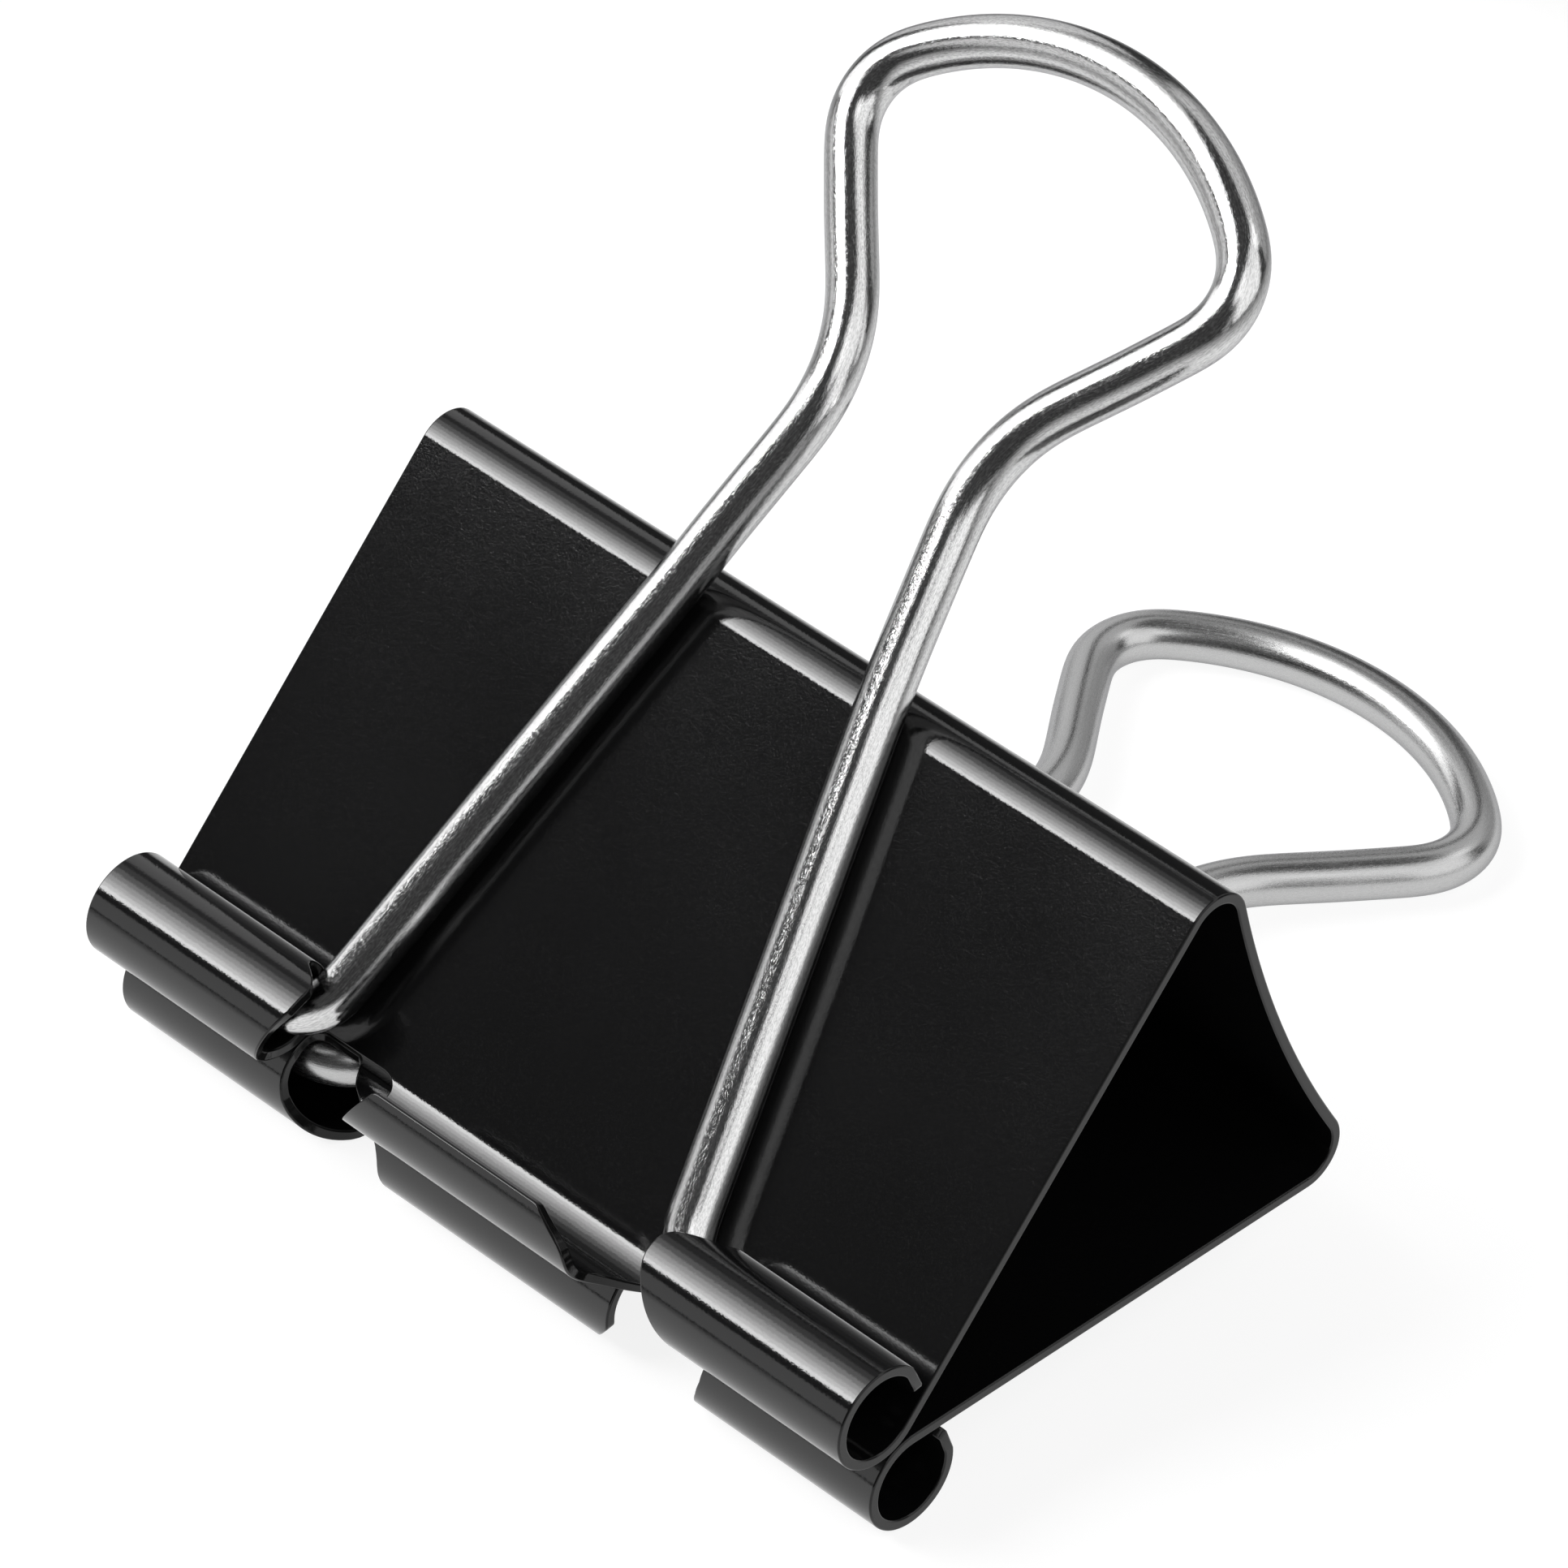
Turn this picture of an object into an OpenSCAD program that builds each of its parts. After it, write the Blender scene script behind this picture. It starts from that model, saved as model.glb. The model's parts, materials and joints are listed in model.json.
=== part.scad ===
// Medium binder clip, lying on its lower lips and lower handle: one folded spring-steel
// sheet with rolled lips, and two bent wire handles that pivot in those lips.
// Row frame, mm: +X across the clip, +Y from the jaws to the spine, +Z up from the table.
// Clip frame: the same X, with Y along the mid-plane and Z square to it, origin on the
// line where the jaws meet. The lower half is the upper half turned half a turn about Y.

/* [Sheet body] */
// Width of the folded sheet
clip_w = 32; // [28:1:41]
// Thickness of the spring steel
sheet_t = 0.36; // [0.28:0.02:0.46]
// Angle of each leaf to the mid-plane, degrees
leaf_deg = 24; // [20:0.1:28]
// Flat length of a leaf, from its lip to its fold
leaf_len = 16.6; // [14:0.1:20]
// Outer radius of the two folds
fold_r = 1.3; // [0.9:0.1:2]
// Radius of the hollow in the spine wall, on its outer face
spine_r = 40; // [18:1:60]
// Gap between the closed jaws
jaw_gap = 0.06; // [0.04:0.01:0.2]

/* [Rolled lips] */
// Outer radius of the rolled lips
roll_r = 1.72; // [1.7:0.02:2.2]
// How far round a barrel is rolled, degrees
barrel_deg = 317; // [300:1:325]
// How far round the centre lip is rolled, degrees
lip_deg = 172; // [150:1:190]
// Distance from the middle of the clip to the tip of a barrel's tongue
tongue_x = 7.5; // [7.3:0.1:8]
// Distance from the middle of the clip to the root of a barrel
barrel_root_x = 8.7; // [8.4:0.1:9]
// Square-cut end of the centre lip, at its root
lip_square_x = 5.2; // [4.5:0.1:5.2]
// How far that cut slants in towards the free edge
lip_slant = 1.5; // [0:0.1:2]
// Tapered end of the centre lip, half-way round the roll
lip_taper_x = 4.7; // [4:0.1:4.9]
// How far the taper runs in at the free edge
lip_taper = 1.3; // [0:0.1:2]
// End of the low tail beside the tapered end
lip_tail_x = 6.4; // [5:0.1:6.6]

/* [Wire handles] */
// Diameter of the handle wire
wire_d = 1.6; // [1.4:0.05:1.7]
// Half-length across the handle from one wire end to the other
pin_end_x = 13; // [11:0.5:14]
// Where the line of a leg crosses the pivot axis
leg_foot_x = 6.7; // [6.4:0.05:6.7]
// Centre-line radius of the bend from pin to leg
foot_bend_r = 1.7; // [1.4:0.1:2]
// Half-spacing of the leg lines where the legs turn outwards
neck_x = 2.89; // [2.4:0.01:3.4]
// Distance of that turn from the pivot axis
neck_v = 25.2; // [23:0.1:27]
// Centre-line radius of the turn
neck_r = 6; // [4:0.1:8]
// Angle of the flare to the handle's axis, degrees
flare_deg = 36; // [30:0.5:42]
// Centre-line radius of the loop's corners
corner_r = 2.3; // [2:0.1:3.5]
// Centre-line radius of the loop's crown
crown_r = 10; // [9:0.1:12]
// Distance from the pivot axis to the middle of the crown
handle_len = 36.5; // [35:0.05:38]
// Gap between a resting handle and its leaf
rest_gap = 0.04; // [0.02:0.01:0.1]

/* [Hidden] */
$fn = 64;

enamel = [0.05, 0.05, 0.055];
nickel = [0.78, 0.78, 0.8];
eps = 0.01;
wire_r = wire_d / 2;
wire_facets = 32;
// Straights of wire lap the bends, which are drawn a hair thinner
lap = 0.04;
bend_thinning = 0.01;
half_w = clip_w / 2;

// Clip-frame directions of the upper leaf, and the roll, fold and spine centres, as [Y, Z]
along = [cos(leaf_deg), sin(leaf_deg)];
out = [-sin(leaf_deg), cos(leaf_deg)];
roll_c = [0, roll_r + jaw_gap / 2];
leaf_face = roll_c - (roll_r - sheet_t) * out;
pin_c = leaf_face + (wire_r + rest_gap) * out;
fold_c = leaf_face + leaf_len * along - fold_r * out;
// Half the angle that the hollow spine wall spans
spine_deg = asin(fold_c[1] / (spine_r + fold_r));
spine_c = fold_c[0] + (spine_r + fold_r) * cos(spine_deg);
// Clearance angle at each end of the spine wall
seam_deg = asin(0.01 / spine_r);
// Roll angles, measured from +Y towards +Z
roll_start = leaf_deg - 90;

// The table touches the lower barrels and the crown of the lower handle
crown = pin_c + handle_len * along;
crown_reach = norm(crown - roll_c);
lean_deg = atan2(crown[1] - roll_c[1], crown[0]) - asin((roll_r - wire_r) / crown_reach);
row_z = roll_c[1] * cos(lean_deg) + roll_r;
front_y = -roll_c[1] * sin(lean_deg) - roll_r;
back_y = crown[0] * cos(lean_deg) + crown[1] * sin(lean_deg) + wire_r;
row_y = -(front_y + back_y) / 2;

// Handle outline in its own plane, as [x, v] with v from the pivot axis to the crown
leg_deg = atan2(leg_foot_x - neck_x, neck_v);
foot_run = foot_bend_r * tan((90 - leg_deg) / 2);
foot_c = [leg_foot_x + foot_run, foot_bend_r];
neck_run = neck_r * tan((flare_deg + leg_deg) / 2);
neck_c = [neck_x, neck_v] + neck_run * [sin(leg_deg), -cos(leg_deg)]
         + neck_r * [cos(leg_deg), sin(leg_deg)];
crown_c = [0, handle_len - crown_r];
flare_dir = [sin(flare_deg), cos(flare_deg)];
flare_in = [-cos(flare_deg), sin(flare_deg)];
// Corner centre: corner_r inside the flare line and crown_r - corner_r from the crown's centre
corner_base = [neck_x, neck_v] + corner_r * flare_in;
corner_off = corner_base - crown_c;
corner_b = corner_off * flare_dir;
corner_q = corner_off * corner_off - pow(crown_r - corner_r, 2);
corner_c = corner_base + (sqrt(corner_b * corner_b - corner_q) - corner_b) * flare_dir;
crown_deg = atan2(corner_c[0] - crown_c[0], corner_c[1] - crown_c[1]);

// Stand a clip-frame shape on the table
module in_row() {
    translate([0, row_y, row_z]) rotate([lean_deg, 0, 0]) children();
}

// Turn an upper piece into the lower one
module lower_half() {
    rotate([0, 180, 0]) children();
}

// Extrude a [Y, Z] outline across the clip from x0 to x1
module across(x0, x1) {
    translate([x0, 0, 0]) rotate([90, 0, 90]) linear_extrude(x1 - x0) children();
}

// Wedge of a disc from angle a0 to a1, reaching r
module wedge(r, a0, a1) {
    step = (a1 - a0) / 4;
    polygon([[0, 0], for (i = [0:4]) r * [cos(a0 + i * step), sin(a0 + i * step)]]);
}

// Bent strip of sheet between two radii, from angle a0 to a1
module bend(r_in, r_out, a0, a1) {
    intersection() {
        difference() {
            circle(r_out);
            circle(r_in);
        }
        wedge(2 * r_out, a0, a1);
    }
}

// Rolled sheet in section, turned through sweep degrees from its leaf
module rolled(sweep) {
    translate(roll_c) difference() {
        circle(roll_r);
        circle(roll_r - sheet_t);
        wedge(3 * roll_r, roll_start, roll_start + 360 - sweep);
    }
}

module spine_wall() {
    color(enamel) in_row() across(-half_w, half_w) translate([spine_c, 0])
        bend(spine_r, spine_r + sheet_t, 180 - spine_deg + seam_deg, 180 + spine_deg - seam_deg);
}

module leaf() {
    across(-half_w, half_w)
        polygon([leaf_face, leaf_face + leaf_len * along,
                 leaf_face + leaf_len * along - sheet_t * out, leaf_face - sheet_t * out]);
}

// Fold between a leaf and the spine wall; it turns with its leaf
module fold() {
    across(-half_w, half_w) translate(fold_c)
        bend(fold_r - sheet_t, fold_r, -spine_deg, 90 + leaf_deg);
}

// Barrel with a half-round tongue at its inner end, on the +X side
module barrel() {
    across(barrel_root_x, half_w) rolled(barrel_deg);
    intersection() {
        across(tongue_x, barrel_root_x + eps) intersection() {
            rolled(barrel_deg);
            translate(roll_c) wedge(2 * roll_r, 15, 195);
        }
        translate([tongue_x + roll_r, 0, roll_c[1]]) rotate([15, 0, 0]) cylinder(h = 2 * roll_r, r = roll_r);
    }
}

// Half-rolled lip between the barrels, square at -X and tapered at +X
module centre_lip() {
    roll_top = roll_c[1] + roll_r;
    intersection() {
        across(-lip_square_x, lip_taper_x) rolled(lip_deg);
        translate([0, 2 * roll_r, 0]) rotate([90, 0, 0]) linear_extrude(4 * roll_r)
            polygon([[-lip_square_x - eps, -eps], [lip_taper_x + eps, -eps],
                     [lip_taper_x + eps, roll_c[1] - roll_r / 2], [lip_taper_x - lip_taper, roll_top],
                     [lip_slant - lip_square_x, roll_top], [-lip_square_x - eps, roll_c[1] - roll_r / 2]]);
    }
    across(lip_taper_x - eps, lip_tail_x) rolled(lip_deg - 140);
}

// Straight length of wire between two points of the handle's plane, lapping the bends it meets
module wire(p, q) {
    run = q - p;
    translate([p[0], p[1], 0]) rotate([0, 0, atan2(run[1], run[0])]) rotate([0, 90, 0])
        translate([0, 0, -lap]) cylinder(h = norm(run) + 2 * lap, r = wire_r, $fn = wire_facets);
}

// Short collar of wire that joins two bends at p, its axis at the given angle
module wire_collar(p, axis_deg) {
    translate([p[0], p[1], 0]) rotate([0, 0, axis_deg]) rotate([0, 90, 0])
        cylinder(h = 2 * lap, r = wire_r, center = true, $fn = wire_facets);
}

// Bent length of wire about a centre, from angle a0 to a1, ending just inside its neighbours
module wire_bend(centre, r, a0, a1) {
    trim = asin(lap / 2 / r);
    translate([centre[0], centre[1], 0]) rotate([0, 0, a0 + trim])
        rotate_extrude(angle = a1 - a0 - 2 * trim, $fn = wire_facets)
        translate([r, 0]) circle(wire_r - bend_thinning);
}

// Right-hand half of a handle, up to the side of the crown
module half_handle() {
    leg_start = foot_c - foot_bend_r * [cos(leg_deg), sin(leg_deg)];
    leg_end = neck_c - neck_r * [cos(leg_deg), sin(leg_deg)];
    flare_start = neck_c + neck_r * flare_in;
    flare_end = corner_c - corner_r * flare_in;
    wire([pin_end_x, 0], [foot_c[0], 0]);
    wire_bend(foot_c, foot_bend_r, 180 + leg_deg, 270);
    wire(leg_start, leg_end);
    wire_bend(neck_c, neck_r, 180 - flare_deg, 180 + leg_deg);
    wire(flare_start, flare_end);
    wire_bend(corner_c, corner_r, -flare_deg, 90 - crown_deg);
    wire_collar(crown_c + crown_r * [sin(crown_deg), cos(crown_deg)], -crown_deg);
}

module handle() {
    translate([0, pin_c[0], pin_c[1]]) rotate([leaf_deg, 0, 0]) {
        half_handle();
        mirror([1, 0, 0]) half_handle();
        wire_bend(crown_c, crown_r, 90 - crown_deg, 90 + crown_deg);
    }
}

module upper_leaf() { color(enamel) in_row() leaf(); }
module upper_fold() { color(enamel) in_row() fold(); }
module upper_barrel_right() { color(enamel) in_row() barrel(); }
module upper_barrel_left() { color(enamel) in_row() mirror([1, 0, 0]) barrel(); }
module upper_centre_lip() { color(enamel) in_row() centre_lip(); }
module upper_handle() { color(nickel) in_row() handle(); }

module lower_leaf() { color(enamel) in_row() lower_half() leaf(); }
module lower_fold() { color(enamel) in_row() lower_half() fold(); }
module lower_barrel_left() { color(enamel) in_row() lower_half() barrel(); }
module lower_barrel_right() { color(enamel) in_row() lower_half() mirror([1, 0, 0]) barrel(); }
module lower_centre_lip() { color(enamel) in_row() lower_half() centre_lip(); }
module lower_handle() { color(nickel) in_row() lower_half() handle(); }

spine_wall();
upper_leaf();
upper_fold();
upper_barrel_left();
upper_barrel_right();
upper_centre_lip();
lower_leaf();
lower_fold();
lower_barrel_left();
lower_barrel_right();
lower_centre_lip();
upper_handle();
lower_handle();
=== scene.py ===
"""A binder clip at rest: the enamelled spring sheet and its two nickel-plated wire handles.

The sheet is a flat blank that is cut, shaped and rolled by formula: a point of the blank is (x, s),
where x runs across the clip and s along the sheet, from the line where a leaf starts to roll.
The clip frame has x across, y along the mid-plane from the jaws to the spine, and z square to it.
"""
import json
import math

import bpy
import numpy as np
from mathutils import Matrix, Vector
from mathutils.geometry import delaunay_2d_cdt


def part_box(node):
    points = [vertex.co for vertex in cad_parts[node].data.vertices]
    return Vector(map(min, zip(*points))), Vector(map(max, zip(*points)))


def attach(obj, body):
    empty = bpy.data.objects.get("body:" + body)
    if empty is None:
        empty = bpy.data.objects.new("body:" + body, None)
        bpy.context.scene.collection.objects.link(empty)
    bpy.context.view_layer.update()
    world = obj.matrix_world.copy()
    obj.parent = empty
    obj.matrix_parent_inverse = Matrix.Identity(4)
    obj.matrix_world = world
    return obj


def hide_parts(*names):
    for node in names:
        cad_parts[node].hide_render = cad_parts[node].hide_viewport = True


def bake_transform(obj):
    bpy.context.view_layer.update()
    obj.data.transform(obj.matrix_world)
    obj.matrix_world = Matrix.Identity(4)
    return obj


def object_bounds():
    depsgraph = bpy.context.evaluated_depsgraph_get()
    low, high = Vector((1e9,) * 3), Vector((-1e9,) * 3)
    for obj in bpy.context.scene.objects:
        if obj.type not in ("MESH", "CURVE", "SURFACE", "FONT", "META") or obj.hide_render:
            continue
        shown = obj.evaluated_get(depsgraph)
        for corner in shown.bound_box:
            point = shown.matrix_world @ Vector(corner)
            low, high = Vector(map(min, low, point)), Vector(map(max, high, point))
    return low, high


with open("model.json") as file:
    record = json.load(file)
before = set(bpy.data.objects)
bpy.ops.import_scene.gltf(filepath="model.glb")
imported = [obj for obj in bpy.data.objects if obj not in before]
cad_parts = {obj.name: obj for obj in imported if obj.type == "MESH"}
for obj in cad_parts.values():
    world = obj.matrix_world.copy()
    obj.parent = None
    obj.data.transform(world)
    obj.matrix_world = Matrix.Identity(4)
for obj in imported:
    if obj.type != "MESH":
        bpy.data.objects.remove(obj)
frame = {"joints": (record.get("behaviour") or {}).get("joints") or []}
cad_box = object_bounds()

MM = 0.001
JOINTS = {j["name"]: j for j in frame["joints"]}
HALF_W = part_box("upper_leaf")[1].x / MM

# Sheet, in millimetres and degrees
SHEET_T = 0.36
LEAF_DEG = 24.0
LEAF_LEN = 16.6
FOLD_R = 1.3
SPINE_R = 40.0
JAW_GAP = 0.06
ROLL_R = 1.72
BARREL_DEG = 317.0
EDGE_R = 0.07

# Cut ends of the rolled tabs, as distances across from the middle of the clip
BARREL_ROOT_X = 9.0
BARREL_LIP_X = 8.9
TONGUE_X = 7.3
LEFT_TONGUE_X = 7.65
SQUARE_ROOT_X = 5.15
SQUARE_LIP_X = 3.6
TAPER_LIP_X = 3.3
TAPER_SHOULDER_X = 4.75
TAPER_X = 4.7
TAIL_X = 6.6
TAIL_ROOT_X = 7.1

# Grid of the blank: rows in each stretch, columns across, and least spacings
SPINE_ROWS, FOLD_ROWS, LEAF_ROWS, ROLL_ROWS = 16, 30, 18, 65
COLUMNS = 81
OUTLINE_STEP = 0.05
GRID_MARGIN = 0.06

# Wire handles
WIRE_R = 0.8
REST_GAP = 0.04
PIN_END_X = 13.0
FOOT_X = 7.68
FOOT_R = 1.7
NECK = (2.89, 25.2)
NECK_R = 6.0
FLARE_DEG = 36.0
CORNER_R = 2.3
CROWN_R = 10.0
HANDLE_LEN = 36.5

# How the wires lie: legs drawn in, and the whole line slid sideways, as (places along, amounts)
PINCH = ((0, 9, 17, 26, 29), (0, 0.12, 0.26, 0.14, 0))
SKEW = {"upper": ((0, 19, 36.5), (-0.53, -0.5, -0.02)), "lower": ((0, 36.5), (0.43, -0.5))}
LINE_STEP = 0.1
WIRE_STEP = 0.18
WIRE_SIDES = 40
WIRE_CHAMFER = 0.1
WIRE_EASE = 0.45


def polar(deg):
    return np.array([math.cos(math.radians(deg)), math.sin(math.radians(deg))])


# Clip-frame section of the upper half, as (y, z)
ALONG = polar(LEAF_DEG)
OUT = polar(LEAF_DEG + 90)
ROLL_C = np.array([0, ROLL_R + JAW_GAP / 2])
LEAF_FACE = ROLL_C - (ROLL_R - SHEET_T) * OUT
PIN_C = LEAF_FACE + (WIRE_R + REST_GAP) * OUT
FOLD_C = LEAF_FACE + LEAF_LEN * ALONG - FOLD_R * OUT
SPINE_DEG = math.degrees(math.asin(FOLD_C[1] / (SPINE_R + FOLD_R)))
SPINE_Y = FOLD_C[0] + (SPINE_R + FOLD_R) * polar(SPINE_DEG)[0]

# Radii of the sheet's middle surface, and where its stretches end along s
ROLL_M = ROLL_R - SHEET_T / 2
FOLD_M = FOLD_R - SHEET_T / 2
SPINE_M = SPINE_R + SHEET_T / 2
FOLD_START = -LEAF_LEN
SPINE_START = FOLD_START - FOLD_M * math.radians(90 + LEAF_DEG + SPINE_DEG)
SPINE_MID = SPINE_START - SPINE_M * math.radians(SPINE_DEG)


def clip_frame():
    """Origin, mid-plane direction and normal of the clip frame in the row frame, from the joints."""
    pin_up, pin_low, hinge_up, hinge_low = (
        Vector(JOINTS[n]["pos_m"])
        for n in ("upper_handle_swing", "lower_handle_swing", "upper_jaw_flex", "lower_jaw_flex")
    )
    y_dir = ((hinge_up + hinge_low) - (pin_up + pin_low)).normalized()
    z_dir = (pin_up - pin_low).normalized()
    return (pin_up + pin_low) / 2 - y_dir * PIN_C[0] * MM, y_dir, z_dir


ORIGIN, Y_DIR, Z_DIR = (np.array(v) for v in clip_frame())
CLIP_TO_ROW = np.array([[1, 0, 0], Y_DIR, Z_DIR])


def to_row(points):
    """Clip-frame millimetres to row-frame metres."""
    return np.asarray(points) @ CLIP_TO_ROW * MM + ORIGIN


def half_turn(vectors):
    """The upper half's points or normals turned about the clip's y axis into the lower half's."""
    return np.asarray(vectors) * [-1, 1, -1]


# ---------------------------------------------------------------- sheet

def section(s):
    """Middle-surface point, direction along s and outward normal at each s, in (y, z)."""
    s = np.asarray(s, float)
    point, tangent, normal = (np.zeros((len(s), 2)) for _ in range(3))

    def put(mask, p, t, n):
        point[mask], tangent[mask], normal[mask] = p, t, n

    on = s >= 0
    a = math.radians(LEAF_DEG - 90) - s[on] / ROLL_M
    ray = np.c_[np.cos(a), np.sin(a)]
    put(on, ROLL_C + ROLL_M * ray, np.c_[np.sin(a), -np.cos(a)], -ray)

    on = (s < 0) & (s >= FOLD_START)
    put(on, LEAF_FACE - SHEET_T / 2 * OUT - np.outer(s[on], ALONG), -ALONG, OUT)

    on = (s < FOLD_START) & (s >= SPINE_START)
    a = math.radians(90 + LEAF_DEG) - (FOLD_START - s[on]) / FOLD_M
    ray = np.c_[np.cos(a), np.sin(a)]
    put(on, FOLD_C + FOLD_M * ray, np.c_[-np.sin(a), np.cos(a)], ray)

    on = s < SPINE_START
    a = (s[on] - SPINE_MID) / SPINE_M
    inward = np.c_[np.cos(a), -np.sin(a)]
    put(on, [SPINE_Y, 0] - SPINE_M * inward, np.c_[np.sin(a), np.cos(a)], inward)
    return point, tangent, normal


def roll_s(deg):
    """Place along s of an angle rolled."""
    return ROLL_M * math.radians(deg)


def blank_corners():
    """Corners (x, s, fillet radius) of half the blank, from the spine's middle and round to it again."""
    end, root = roll_s(BARREL_DEG), 0.05
    barrel = [
        (HALF_W, end, 0.3), (BARREL_LIP_X, end, 0.5), (BARREL_LIP_X, roll_s(258), 0.5),
        (TONGUE_X, roll_s(226), 0.7), (TONGUE_X, roll_s(188), 1.4),
        (BARREL_ROOT_X, roll_s(84), 2.5), (BARREL_ROOT_X, root, 0.45),
    ]
    square_end = [
        (-SQUARE_ROOT_X, root, 0.6), (-SQUARE_ROOT_X, roll_s(98), 0.3), (-SQUARE_LIP_X, roll_s(172), 0.35),
    ]
    tapered_end = [
        (TAPER_LIP_X, roll_s(172), 0.5), (TAPER_SHOULDER_X, roll_s(140), 0.9), (TAPER_X, roll_s(72), 1.0),
        (TAIL_X, roll_s(30), 0.8), (TAIL_ROOT_X, root, 0.4),
    ]
    left = [(-max(x, LEFT_TONGUE_X), s, r) for x, s, r in barrel]
    middle = (HALF_W, SPINE_MID, 0)
    return [(-HALF_W, SPINE_MID, 0)] + left + square_end + tapered_end + barrel[::-1] + [middle]


def filleted(corners, step=15):
    """Polyline through the corners with each one rounded by its radius."""
    points = []
    for i, (x, s, radius) in enumerate(corners):
        here = np.array([x, s])
        if radius == 0:
            points.append(here)
            continue
        before = np.array(corners[i - 1][:2]) - here
        after = np.array(corners[i + 1][:2]) - here
        before, after = before / np.linalg.norm(before), after / np.linalg.norm(after)
        half = math.acos(np.clip(before @ after, -1, 1)) / 2
        bisector = (before + after) / np.linalg.norm(before + after)
        centre = here + bisector * radius / math.sin(half)
        start, finish = (here + d * radius / math.tan(half) - centre for d in (before, after))
        turn = math.pi - 2 * half
        count = max(2, math.ceil(math.degrees(turn) / step))
        for k in range(count + 1):
            w = k / count
            ray = (math.sin((1 - w) * turn) * start + math.sin(w * turn) * finish) / math.sin(turn)
            points.append(centre + ray)
    return np.array(points)


def rows_and_columns():
    """Places of the sheet's grid lines along s and across x."""
    spine = np.linspace(SPINE_MID, SPINE_START, SPINE_ROWS)
    fold = np.linspace(SPINE_START, FOLD_START, FOLD_ROWS)
    leaf = np.linspace(FOLD_START, 0, LEAF_ROWS)
    roll = np.linspace(0, roll_s(BARREL_DEG), ROLL_ROWS)
    rows = np.unique(np.round(np.concatenate([spine, fold, leaf, roll]), 9))
    return rows, np.linspace(-HALF_W, HALF_W, COLUMNS)


def cut_at_lines(line, rows, columns):
    """The polyline with points added where it crosses the grid lines."""
    points = [line[0]]
    for p, q in zip(line[:-1], line[1:]):
        cuts = []
        for axis, places in ((0, columns), (1, rows)):
            run = q[axis] - p[axis]
            if abs(run) > 1e-9:
                cuts += [w for w in (places - p[axis]) / run if 0.02 < w < 0.98]
        length = np.linalg.norm(q - p)
        kept = []
        for w in sorted(cuts) + [1.0]:
            if (w - (kept[-1] if kept else 0)) * length > OUTLINE_STEP:
                kept.append(w)
        if not kept or kept[-1] != 1.0:
            kept = kept[:-1] + [1.0]
        points += [p + w * (q - p) for w in kept]
    return np.array(points)


def outward(line):
    """Normals in the blank's plane, pointing off the material, for the open outline."""
    step = np.diff(line, axis=0)
    step /= np.linalg.norm(step, axis=1)[:, None]
    side = np.c_[-step[:, 1], step[:, 0]]
    mixed = np.vstack([side[:1], side[:-1] + side[1:], side[-1:]])
    return mixed / np.linalg.norm(mixed, axis=1)[:, None]


def distance_to(points, line):
    """Least distance of each point to the polyline, and whether it lies inside its closed loop."""
    closed = np.vstack([line, line[:1]])
    best = np.full(len(points), 1e9)
    inside = np.zeros(len(points), bool)
    for p, q in zip(closed[:-1], closed[1:]):
        run = q - p
        w = np.clip(((points - p) @ run) / (run @ run), 0, 1)
        best = np.minimum(best, np.linalg.norm(points - p - w[:, None] * run, axis=1))
        if p[1] != q[1]:
            crossed = (points[:, 1] < p[1]) != (points[:, 1] < q[1])
            at = p[0] + (points[:, 1] - p[1]) * run[0] / run[1]
            inside ^= crossed & (points[:, 0] < at)
    return best, inside


def blank():
    """Flat mesh of the half blank: points, triangles, outline indices, seam indices and normals."""
    rows, columns = rows_and_columns()
    outline = cut_at_lines(filleted(blank_corners()), rows, columns)
    normals = outward(outline)
    normals[[0, -1]] = [[-1, 0], [1, 0]]
    edge = outline - EDGE_R * normals
    seam = np.array([[x, SPINE_MID] for x in columns[::-1][1:-1]])
    loop = np.vstack([edge, seam])
    grid = np.array([[x, s] for s in rows[1:] for x in columns])
    gap, inside = distance_to(grid, loop)
    grid = grid[inside & (gap > GRID_MARGIN)]
    points = np.vstack([loop, grid])
    ring = list(range(len(loop)))
    made, _, faces, source, _, _ = delaunay_2d_cdt(
        [Vector(p) for p in points], [], [ring], 1, 1e-7)
    if len(made) != len(points):
        raise ValueError("the blank's outline crosses itself")
    order = np.array([s[0] for s in source])
    faces = [[order[i] for i in f] for f in faces]
    seam_ids = [len(edge) - 1] + list(range(len(edge), len(loop))) + [0]
    return points, faces, len(edge), seam_ids, normals


def formed(points, height):
    """Blank points bent to shape, at a height above the middle surface, in the clip frame."""
    point, _, normal = section(points[:, 1])
    bent = point + np.reshape(height, (-1, 1)) * normal
    return np.c_[points[:, 0], bent]


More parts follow.
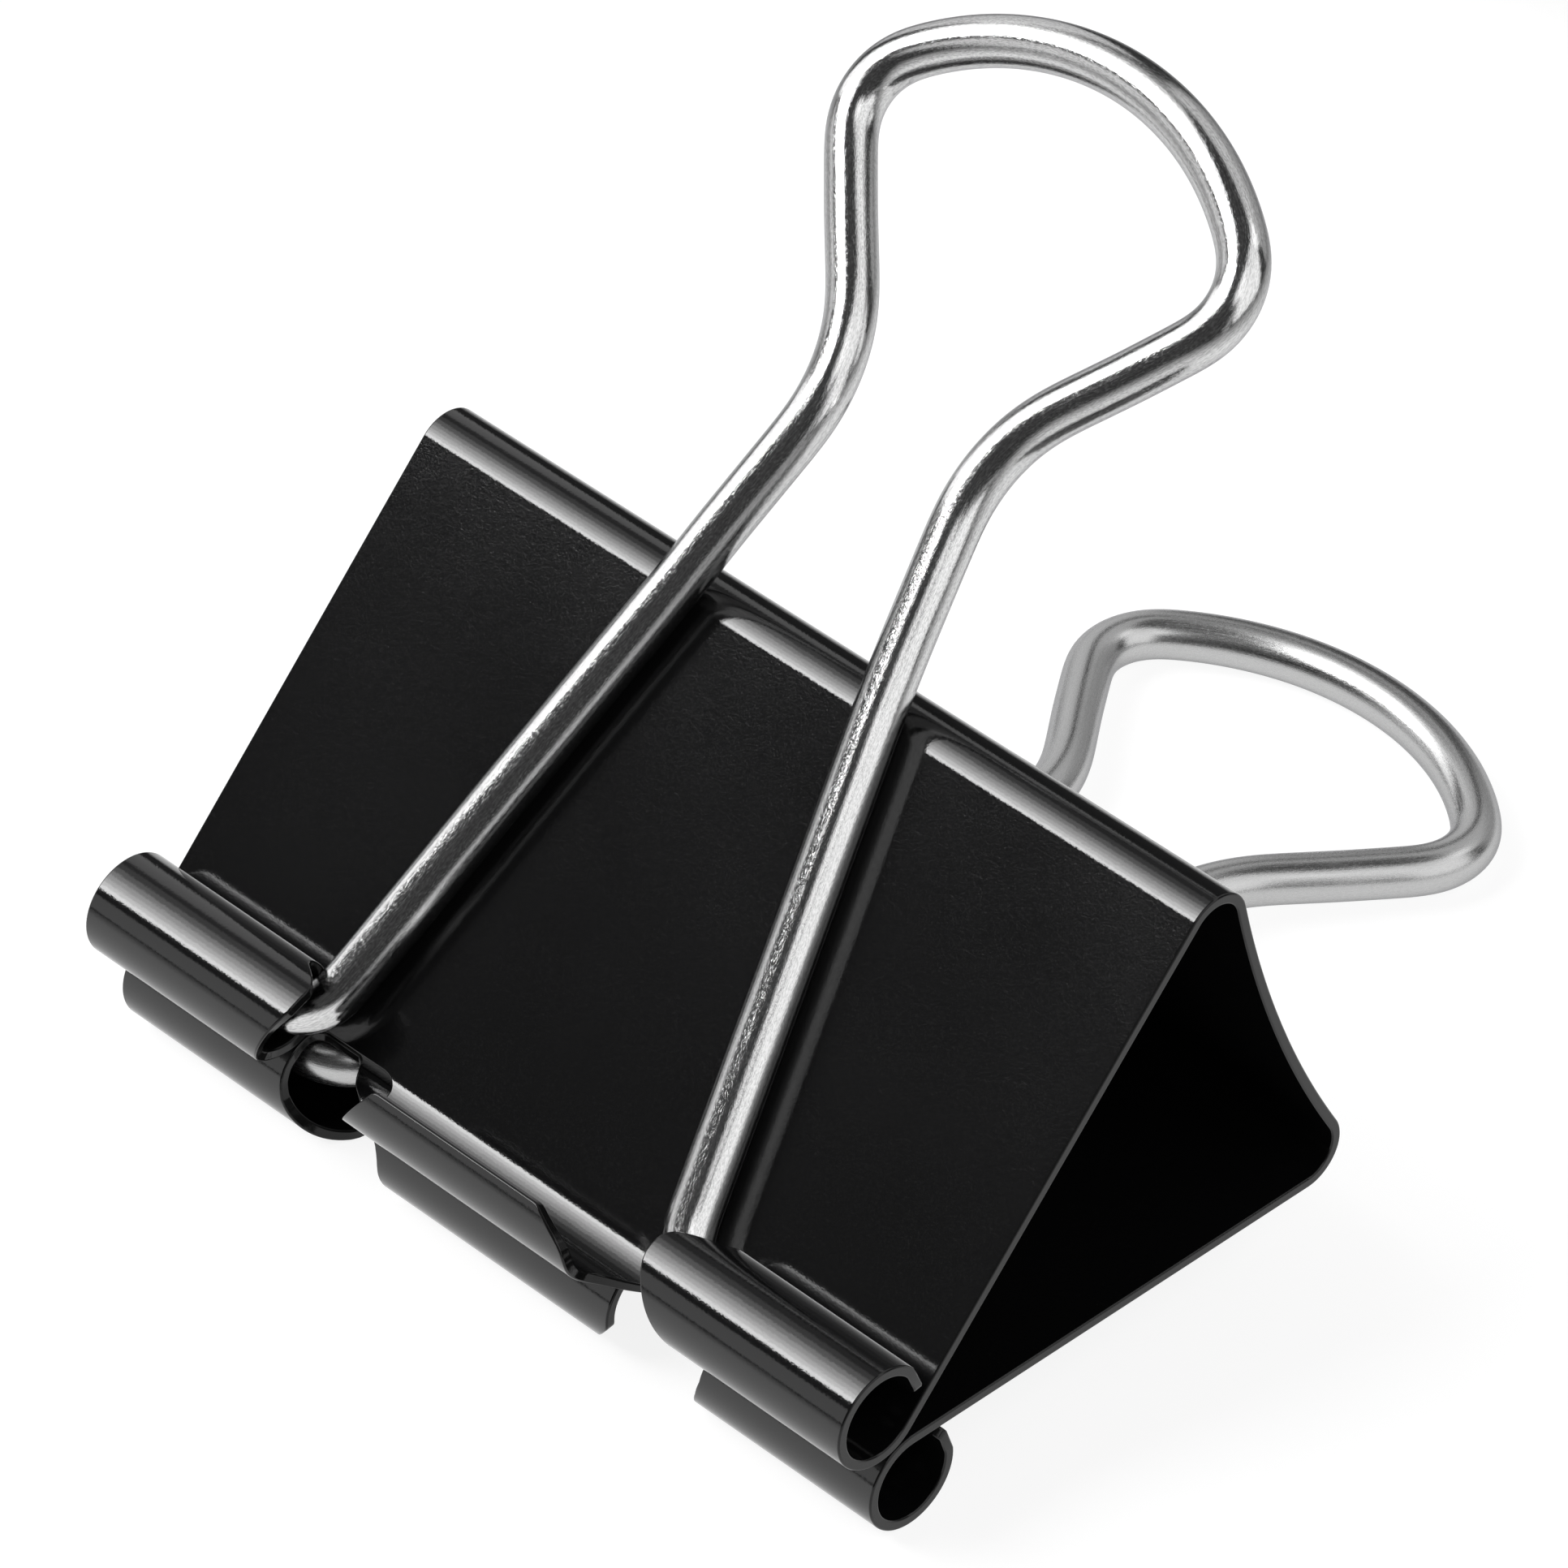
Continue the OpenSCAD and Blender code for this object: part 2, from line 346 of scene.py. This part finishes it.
def sheet_piece(name, turn):
    """Half of the spring sheet as one closed solid with rounded edges."""
    points, triangles, n_edge, seam, normals2d = blank()
    n = len(points)
    _, _, face_normal = section(points[:, 1])
    up = np.c_[np.zeros(n), face_normal]
    verts = [formed(points, SHEET_T / 2), formed(points, -SHEET_T / 2)]
    norms = [up, -up]
    edge = points[:n_edge]
    # Angles round the rounded rim, and the face of the sheet each lies nearer to
    profile = [(60, 1), (30, 1), (0, 1), (0, -1), (-30, -1), (-60, -1)]
    for deg, side in profile:
        c, s = polar(deg)
        moved = edge + EDGE_R * c * normals2d
        verts.append(formed(moved, side * (SHEET_T / 2 - EDGE_R) + EDGE_R * s))
        _, tangent, normal = section(moved[:, 1])
        sideways = np.c_[normals2d[:, 0], normals2d[:, 1:] * tangent]
        norms.append(c * sideways + s * np.c_[np.zeros(n_edge), normal])
    start = [0] + [2 * n + k * n_edge for k in range(len(profile))] + [n]
    faces = [f[::-1] for f in triangles] + [[n + i for i in f] for f in triangles]
    for a, b in zip(start[:-1], start[1:]):
        faces += [[a + i, a + i + 1, b + i + 1, b + i] for i in range(n_edge - 1)]
    rim_left = start[1:-1]
    rim_right = [a + n_edge - 1 for a in start[1:-1]]
    faces += [[a, b, n + b, n + a] for a, b in zip(seam[:-1], seam[1:])]
    faces += [[0, n] + rim_left[::-1], [n_edge - 1] + rim_right + [n + n_edge - 1]]
    verts, norms = np.vstack(verts), np.vstack(norms)
    if turn:
        verts, norms = half_turn(verts), half_turn(norms)
    piece = mesh_piece(name, to_row(verts), faces, norms @ CLIP_TO_ROW)
    rim = np.r_[np.zeros(2 * n), np.ones(len(verts) - 2 * n)]
    add_attribute(piece, "rim", rim)
    return piece


def mesh_piece(name, verts, faces, normals):
    """Mesh object with the given vertex normals, faces turned to agree with them."""
    verts, normals = np.asarray(verts), np.asarray(normals)
    turned = []
    for f in faces:
        f = [int(i) for i in f]
        a, b, c = verts[f[0]], verts[f[len(f) // 3]], verts[f[2 * len(f) // 3]]
        facing = np.cross(b - a, c - a) @ normals[f].sum(0)
        turned.append(f[::-1] if facing < 0 else f)
    mesh = bpy.data.meshes.new(name)
    mesh.from_pydata([tuple(v) for v in verts], [], turned)
    mesh.shade_smooth()
    mesh.normals_split_custom_set_from_vertices([tuple(v) for v in normals])
    piece = bpy.data.objects.new(name, mesh)
    bpy.context.scene.collection.objects.link(piece)
    return piece


def add_attribute(piece, name, values, kind="FLOAT"):
    attribute = piece.data.attributes.new(name, kind, "POINT")
    key = "value" if kind == "FLOAT" else "vector"
    attribute.data.foreach_set(key, np.asarray(values, np.float32).ravel())


# ---------------------------------------------------------------- wire handles

def arc(centre, radius, start, finish, step=4):
    count = max(2, math.ceil(abs(finish - start) / step))
    return [np.asarray(centre) + radius * polar(a) for a in np.linspace(start, finish, count + 1)]


def handle_line():
    """Centre line of a handle in its own plane, as (x, v), from one wire end to the other."""
    leg_deg = math.degrees(math.atan2(FOOT_X - NECK[0], NECK[1]))
    foot_c = [FOOT_X + FOOT_R * math.tan(math.radians(90 - leg_deg) / 2), FOOT_R]
    neck_run = NECK_R * math.tan(math.radians(FLARE_DEG + leg_deg) / 2)
    side = polar(leg_deg)
    neck_c = np.array(NECK) + neck_run * np.array([side[1], -side[0]]) + NECK_R * side
    crown_c = np.array([0, HANDLE_LEN - CROWN_R])
    flare = polar(90 - FLARE_DEG)
    base = np.array(NECK) + CORNER_R * polar(180 - FLARE_DEG)
    off = base - crown_c
    b, q = off @ flare, off @ off - (CROWN_R - CORNER_R) ** 2
    corner_c = base + (math.sqrt(b * b - q) - b) * flare
    crown_deg = math.degrees(math.atan2(*(corner_c - crown_c)))
    right = [np.array([PIN_END_X, 0])] + arc(foot_c, FOOT_R, 270, 180 + leg_deg)
    right += arc(neck_c, NECK_R, 180 + leg_deg, 180 - FLARE_DEG)
    right += arc(corner_c, CORNER_R, -FLARE_DEG, 90 - crown_deg)
    right += arc(crown_c, CROWN_R, 90 - crown_deg, 90)[1:]
    left = [p * [-1, 1] for p in right[::-1][1:]]
    return np.array(right + left)


def resampled(line, spacing):
    run = np.r_[0, np.cumsum(np.linalg.norm(np.diff(line, axis=0), axis=1))]
    places = np.linspace(0, run[-1], round(run[-1] / spacing) + 1)
    return np.c_[np.interp(places, run, line[:, 0]), np.interp(places, run, line[:, 1])], places


def eased(line, spacing, reach):
    """The line with its bends eased into the straights, its ends kept."""
    count = round(3 * reach / spacing)
    weight = np.exp(-0.5 * (np.arange(-count, count + 1) * spacing / reach) ** 2)
    weight /= weight.sum()
    ahead = line[0] + (line[0] - line[1]) * np.arange(count, 0, -1)[:, None]
    behind = line[-1] + (line[-1] - line[-2]) * np.arange(1, count + 1)[:, None]
    padded = np.vstack([ahead, line, behind])
    return np.c_[np.convolve(padded[:, 0], weight, "valid"), np.convolve(padded[:, 1], weight, "valid")]


def slid(line, places, shifts):
    """The line shifted sideways by an amount set along the handle, its legs drawn in a little.

    The ends of the pins stay where they are.
    """
    x, v = line.T
    w = np.clip((PIN_END_X - np.abs(x)) / (PIN_END_X - FOOT_X - FOOT_R), 0, 1)
    return np.c_[x + np.interp(v, places, shifts) * w - np.sign(x) * np.interp(v, *PINCH), v]


def handle_piece(name, turn, skew):
    """Handle wire swept along its line, with sheared and lightly chamfered ends."""
    line, _ = resampled(handle_line(), LINE_STEP)
    line, _ = resampled(slid(line, *skew), WIRE_STEP)
    line = eased(line, WIRE_STEP, WIRE_EASE)
    line, places = resampled(line, WIRE_STEP)
    tangent = np.gradient(line, axis=0)
    tangent /= np.linalg.norm(tangent, axis=1)[:, None]
    across = np.c_[tangent[:, 1], -tangent[:, 0]]
    around = np.linspace(0, 2 * math.pi, WIRE_SIDES, endpoint=False)
    cos, sin = np.cos(around), np.sin(around)
    radius = np.full(len(line), WIRE_R)
    radius[[0, -1]] = WIRE_R - WIRE_CHAMFER

    flat = line[:, None, :] + radius[:, None, None] * cos[None, :, None] * across[:, None, :]
    height = radius[:, None] * sin[None, :]
    points = np.concatenate([flat, height[:, :, None]], axis=2).reshape(-1, 3)
    normal = np.concatenate([cos[None, :, None] * across[:, None, :],
                             np.broadcast_to(sin[None, :, None], (len(line), WIRE_SIDES, 1))], axis=2)
    normals = normal.reshape(-1, 3)
    faces = []
    for i in range(len(line) - 1):
        for k in range(WIRE_SIDES):
            a, b = i * WIRE_SIDES + k, i * WIRE_SIDES + (k + 1) % WIRE_SIDES
            faces.append([a, b, b + WIRE_SIDES, a + WIRE_SIDES])
    last = (len(line) - 1) * WIRE_SIDES
    faces += [list(range(WIRE_SIDES)), list(range(last, last + WIRE_SIDES))]
    ends = np.r_[np.tile([0], WIRE_SIDES), np.tile([len(line) - 1], WIRE_SIDES)]
    rows = np.r_[0:WIRE_SIDES, last:last + WIRE_SIDES]
    off_end = np.where(ends[:, None] == 0, -tangent[0], tangent[-1])
    normals[rows] = (normals[rows] + np.c_[off_end, np.zeros(len(rows))]) / math.sqrt(2)

    frame_of = np.array([[1, 0, 0], [0, *ALONG], [0, *OUT]])
    place = points @ frame_of + [0, *PIN_C]
    normals = normals @ frame_of
    if turn:
        place, normals = half_turn(place), half_turn(normals)
    piece = mesh_piece(name, to_row(place), faces, normals @ CLIP_TO_ROW)
    streak = np.c_[np.repeat(places, WIRE_SIDES), np.tile(cos, len(line)), np.tile(sin, len(line))]
    add_attribute(piece, "drawn", streak, "FLOAT_VECTOR")
    return piece


# ---------------------------------------------------------------- materials

class Graph:
    """Short way to write a material's nodes."""

    def __init__(self, name):
        self.material = bpy.data.materials.new(name)
        self.material.use_nodes = True
        self.tree = self.material.node_tree
        self.shader = self.tree.nodes["Principled BSDF"]

    def node(self, kind, settings=None, **inputs):
        made = self.tree.nodes.new("ShaderNode" + kind)
        for key, value in (settings or {}).items():
            setattr(made, key, value)
        for key, value in inputs.items():
            self.link(made, key.replace("_", " "), value)
        return made

    def link(self, node, key, value):
        socket = node.inputs[int(key[2:]) if key.startswith("in") and key[2:].isdigit() else key]
        if isinstance(value, bpy.types.NodeSocket):
            self.tree.links.new(value, socket)
        else:
            socket.default_value = value

    def noise(self, vector, scale, detail=2.0, roughness=0.5):
        return self.node("TexNoise", None, Vector=vector, Scale=scale, Detail=detail,
                         Roughness=roughness).outputs["Fac"]

    def ramp(self, value, low, high, to_low=0.0, to_high=1.0):
        made = self.node("MapRange", None, Value=value)
        for key, v in (("From Min", low), ("From Max", high), ("To Min", to_low), ("To Max", to_high)):
            made.inputs[key].default_value = v
        return made.outputs["Result"]

    def math(self, how, a, b):
        made = self.node("Math", {"operation": how})
        self.link(made, "in0", a)
        self.link(made, "in1", b)
        return made.outputs[0]

    def mix(self, factor, a, b):
        made = self.node("Mix", {"data_type": "RGBA"})
        self.tree.links.new(factor, made.inputs[0])
        made.inputs[6].default_value = (*a, 1)
        made.inputs[7].default_value = (*b, 1)
        return made.outputs[2]

    def attribute(self, name, output):
        return self.node("Attribute", {"attribute_name": name}).outputs[output]

    def bump(self, height, distance, normal=None):
        made = self.node("Bump", None, Height=height, Distance=distance, Strength=1.0)
        if normal:
            self.tree.links.new(normal, made.inputs["Normal"])
        return made.outputs["Normal"]


# Enamel: noise scales per metre, and heights of the relief in metres
PEEL_SCALE, GRAIN_SCALE, CLOUD_SCALE = 2600, 13000, 120
PEEL_HEIGHT, GRAIN_HEIGHT = 1.5e-6, 2.0e-6

# Nickel: noise scales along the wire and across it, and heights of the relief in metres
STREAK_SCALE, SPECKLE_SCALE = (0.6, 20, 20), (8, 22, 22)
STREAK_HEIGHT, SPECKLE_HEIGHT = 1.2e-6, 3.0e-6
NICKEL_TONE = 0.7


def enamel():
    """Black baked enamel: glossy, with a fine orange peel and dust nibs, duller on sheared edges."""
    g = Graph("black_enamel")
    place = g.node("TexCoord").outputs["Object"]
    peel = g.noise(place, PEEL_SCALE, 3, 0.55)
    grain = g.noise(place, GRAIN_SCALE, 2, 0.6)
    cloud = g.noise(place, CLOUD_SCALE, 3, 0.5)
    rim = g.attribute("rim", "Fac")
    black = g.mix(g.ramp(grain, 0.62, 0.75), (0.0036, 0.0036, 0.0038), (0.008, 0.008, 0.008))
    colour = g.node("Mix", {"data_type": "RGBA"})
    g.tree.links.new(rim, colour.inputs[0])
    g.tree.links.new(black, colour.inputs[6])
    colour.inputs[7].default_value = (0.006, 0.006, 0.006, 1)
    g.link(g.shader, "Base Color", colour.outputs[2])
    g.shader.inputs["IOR"].default_value = 1.6
    g.link(g.shader, "Specular IOR Level", g.ramp(rim, 0, 1, 0.5, 0.22))
    rough = g.math("ADD", g.ramp(cloud, 0.3, 0.7, 0.06, 0.08), g.ramp(grain, 0.3, 0.7, 0.0, 0.04))
    g.link(g.shader, "Roughness", rough)
    g.link(g.shader, "Normal", g.bump(grain, GRAIN_HEIGHT, g.bump(peel, PEEL_HEIGHT)))
    return g.material


def nickel(name, roughness, painted_shade_tone, speckle):
    """Nickel plate over drawn wire: fine streaks along the wire and a close grain of duller specks, its
    whole colour scaled down by a tone that paints shade.
    """
    g = Graph(name)
    g.shader.inputs["Metallic"].default_value = 1.0
    g.shader.inputs["Specular Tint"].default_value = (0.55, 0.55, 0.56, 1)
    drawn = g.attribute("drawn", "Vector")
    stretch = g.node("Mapping", None, Vector=drawn)
    stretch.inputs["Scale"].default_value = STREAK_SCALE
    streak = g.noise(stretch.outputs[0], 1.0, 4, 0.6)
    close = g.node("Mapping", None, Vector=drawn)
    close.inputs["Scale"].default_value = SPECKLE_SCALE
    grain = g.noise(close.outputs[0], 1.0, 3, 0.65)
    mottle = g.math("ADD", g.ramp(grain, 0.35, 0.62), g.ramp(streak, 0.3, 0.7, -0.3, 0.3))
    # painted shade: the whole colour is scaled down for the lower handle, which lies under the clip
    dark, bright = ([painted_shade_tone * shade] * 3 for shade in (NICKEL_TONE - 1.6 * speckle, NICKEL_TONE))
    g.link(g.shader, "Base Color", g.mix(mottle, dark, bright))
    low, high = roughness
    rough = g.math("ADD", g.ramp(streak, 0.3, 0.7, low, high), g.ramp(grain, 0.5, 0.66, 0, speckle))
    g.link(g.shader, "Roughness", rough)
    g.link(g.shader, "Normal", g.bump(grain, SPECKLE_HEIGHT, g.bump(streak, STREAK_HEIGHT)))
    return g.material


# Pool of light painted on the floor as its own glow: its middle, its radius, how fast it fades and how
# bright it is
POOL_CENTRE = (-0.011, 0.002, 0)
POOL_RADIUS = 0.046
POOL_FALL = 1.2
POOL_LEVEL = 0.86


def floor_paper():
    """White paper that glows with a painted pool of light, which keeps shadows faint and fades away from
    the clip.
    """
    g = Graph("studio_floor")
    place = g.node("TexCoord").outputs["Object"]
    spot = g.node("Mapping", None, Vector=place)
    spot.inputs["Location"].default_value = [-v for v in POOL_CENTRE]
    far = g.node("VectorMath", {"operation": "LENGTH"}, Vector=spot.outputs[0]).outputs["Value"]
    reach = g.math("MAXIMUM", far, POOL_RADIUS)
    fade = g.math("POWER", g.math("DIVIDE", POOL_RADIUS, reach), POOL_FALL)
    tint = g.mix(g.noise(place, 30, 2), (0.19, 0.19, 0.19), (0.20, 0.20, 0.20))
    g.link(g.shader, "Base Color", tint)
    g.shader.inputs["Roughness"].default_value = 0.9
    g.shader.inputs["IOR"].default_value = 1.1
    # painted light: the floor itself glows, brightest round the clip, to lift its shadows
    g.shader.inputs["Emission Color"].default_value = (1, 1, 1, 1)
    g.link(g.shader, "Emission Strength", g.math("MULTIPLY", fade, POOL_LEVEL))
    return g.material


# ---------------------------------------------------------------- stage

# Camera: angles in degrees, distance and offset from the clip's middle and focal length in millimetres
VIEW_AZIMUTH = 45.185
VIEW_ELEVATION = 39.737
VIEW_DISTANCE = 305.0
VIEW_OFFSET = (-4.564, -5.796)
LENS = 236.56
FLOOR_HALF = 3.0
LIGHT_DISTANCE = 0.5

# Softbox by the jaws, in strips along x: lower angle, upper angle and radiance of each
SOFTBOX = [
    (136, 128, 12.0), (128, 120, 8.8), (120, 112, 6.4), (112, 103, 4.6),
    (103, 94, 2.8), (94, 83, 1.3), (83, 71, 0.5), (71, 58, 0.15),
]
SOFTBOX_TILT = (5.3, (-0.56, -0.62, 0.55))


def box_centre():
    low, high = (np.array(v) for v in cad_box)
    return (low + high) / 2


def add_camera():
    """Long lens above and to the right of the jaws."""
    az, el = math.radians(VIEW_AZIMUTH), math.radians(VIEW_ELEVATION)
    back = np.array([math.sin(az) * math.cos(el), -math.cos(az) * math.cos(el), math.sin(el)])
    right = np.array([math.cos(az), math.sin(az), 0])
    up = np.cross(back, right)
    data = bpy.data.cameras.new("camera")
    data.lens = LENS
    data.sensor_width = 36
    data.clip_start, data.clip_end = 0.01, 10
    camera = bpy.data.objects.new("camera", data)
    place = box_centre() + MM * (VIEW_OFFSET[0] * right + VIEW_OFFSET[1] * up + VIEW_DISTANCE * back)
    camera.location = place
    camera.rotation_euler = Vector(back).to_track_quat("Z", "Y").to_euler()
    bpy.context.scene.collection.objects.link(camera)
    bpy.context.scene.camera = camera


def add_floor():
    """Flat floor at the height the clip rests on."""
    half, z = FLOOR_HALF, cad_box[0][2]
    mesh = bpy.data.meshes.new("floor")
    mesh.from_pydata([(-half, -half, z), (half, -half, z), (half, half, z), (-half, half, z)], [],
                     [(0, 1, 2, 3)])
    floor = bpy.data.objects.new("floor", mesh)
    floor.data.materials.append(floor_paper())
    bpy.context.scene.collection.objects.link(floor)


def add_area(name, middle, x_axis, y_axis, size, radiance, turn=None):
    """Rectangular soft light whose back is turned away from the clip."""
    data = bpy.data.lights.new(name, "AREA")
    data.shape = "RECTANGLE"
    data.size, data.size_y = size
    data.energy = radiance * math.pi * data.size * data.size_y
    light = bpy.data.objects.new(name, data)
    x_axis, y_axis = Vector(x_axis), Vector(y_axis)
    if x_axis.cross(y_axis).dot(Vector(middle)) < 0:
        x_axis = -x_axis
    axes = Matrix((x_axis, y_axis, x_axis.cross(y_axis))).transposed().to_4x4()
    light.matrix_world = (turn or Matrix()) @ Matrix.Translation(middle) @ axes
    bpy.context.scene.collection.objects.link(light)


def panel(name, lower, upper, x0, x1, radiance, turn=None):
    """Light parallel to x, spanning two angles round the clip seen from its end (0 = +y, 90 = up)."""
    low, high = (np.array([0, *(LIGHT_DISTANCE * polar(a))]) for a in (lower, upper))
    height = float(np.linalg.norm(high - low))
    middle = (low + high) / 2 + [(x0 + x1) / 2 * LIGHT_DISTANCE, 0, 0]
    size = ((x1 - x0) * LIGHT_DISTANCE, height)
    add_area(name, middle, (1, 0, 0), (high - low) / height, size, radiance, turn)


def card(name, azimuth, elevation, width, height, radiance):
    """Light facing the clip from an azimuth (0 = -y, 90 = +x) and elevation, sized by angles."""
    az, el = math.radians(azimuth), math.radians(elevation)
    back = np.array([math.sin(az) * math.cos(el), -math.cos(az) * math.cos(el), math.sin(el)])
    right = np.array([math.cos(az), math.sin(az), 0])
    size = [2 * LIGHT_DISTANCE * math.tan(math.radians(a / 2)) for a in (width, height)]
    add_area(name, LIGHT_DISTANCE * back, right, np.cross(back, right), size, radiance)


def add_lights():
    """Long softbox by the jaws, brightest along its lower edge, and paler cards round about."""
    degrees, axis = SOFTBOX_TILT
    tilt = Matrix.Rotation(math.radians(degrees), 4, Vector(axis))
    for i, (lower, upper, radiance) in enumerate(SOFTBOX):
        panel(f"softbox_{i}", lower, upper, -1.3, -0.2, radiance, tilt)
    panel("softbox_end", 136, 95, -8.0, -1.3, 1.7, tilt)
    panel("low_bounce", 178, 150, -3.0, -0.25, 0.8)
    card("right_window", 97, 24, 58, 40, 1.25)
    card("right_upper", 95, 55, 74, 22, 1.1)
    card("front_right_upper", 57, 50, 16, 20, 0.5)
    card("front_line", 60, 12, 4, 40, 0.7)
    card("left_wall", -122, 20, 34, 44, 0.8)
    panel("back_low", 30, 0, -0.35, 0.55, 0.4)
    panel("back_high", 65, 30, -0.35, 0.55, 0.65)
    world = bpy.data.worlds.new("studio")
    world.use_nodes = True
    world.node_tree.nodes["Background"].inputs["Color"].default_value = (0.06, 0.06, 0.06, 1)
    bpy.context.scene.world = world
    bpy.context.scene.view_settings.view_transform = "Standard"


# ---------------------------------------------------------------- assembly


def build_sheets(material):
    """Both halves of the sheet, each shaped from the spine's middle round to its jaw."""
    for side, turn in (("upper", False), ("lower", True)):
        piece = sheet_piece(f"{side}_sheet", turn)
        piece.data.materials.append(material)
        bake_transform(piece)
        parts = [f"{side}_{p}" for p in ("leaf", "fold", "barrel_left", "barrel_right", "centre_lip")]
        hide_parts("spine_wall", *parts)


def build_handles():
    """Both wire handles, the upper one brighter and the lower one softer, with painted shade: the lower
    one's nickel colour is darkened for lying under the clip.
    """
    # the lower finish's 0.74 tone is painted shade, darkening the wire that lies under the clip
    finishes = {"upper": nickel("bright_nickel", (0.07, 0.13), 1.0, 0.14),
                "lower": nickel("soft_nickel", (0.2, 0.3), 0.74, 0.05)}
    for side, turn in (("upper", False), ("lower", True)):
        piece = handle_piece(f"{side}_wire_handle", turn, SKEW[side])
        piece.data.materials.append(finishes[side])
        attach(piece, f"{side}_handle")
        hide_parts(f"{side}_handle")


build_sheets(enamel())
build_handles()
add_floor()
add_lights()
add_camera()

bpy.context.view_layer.update()
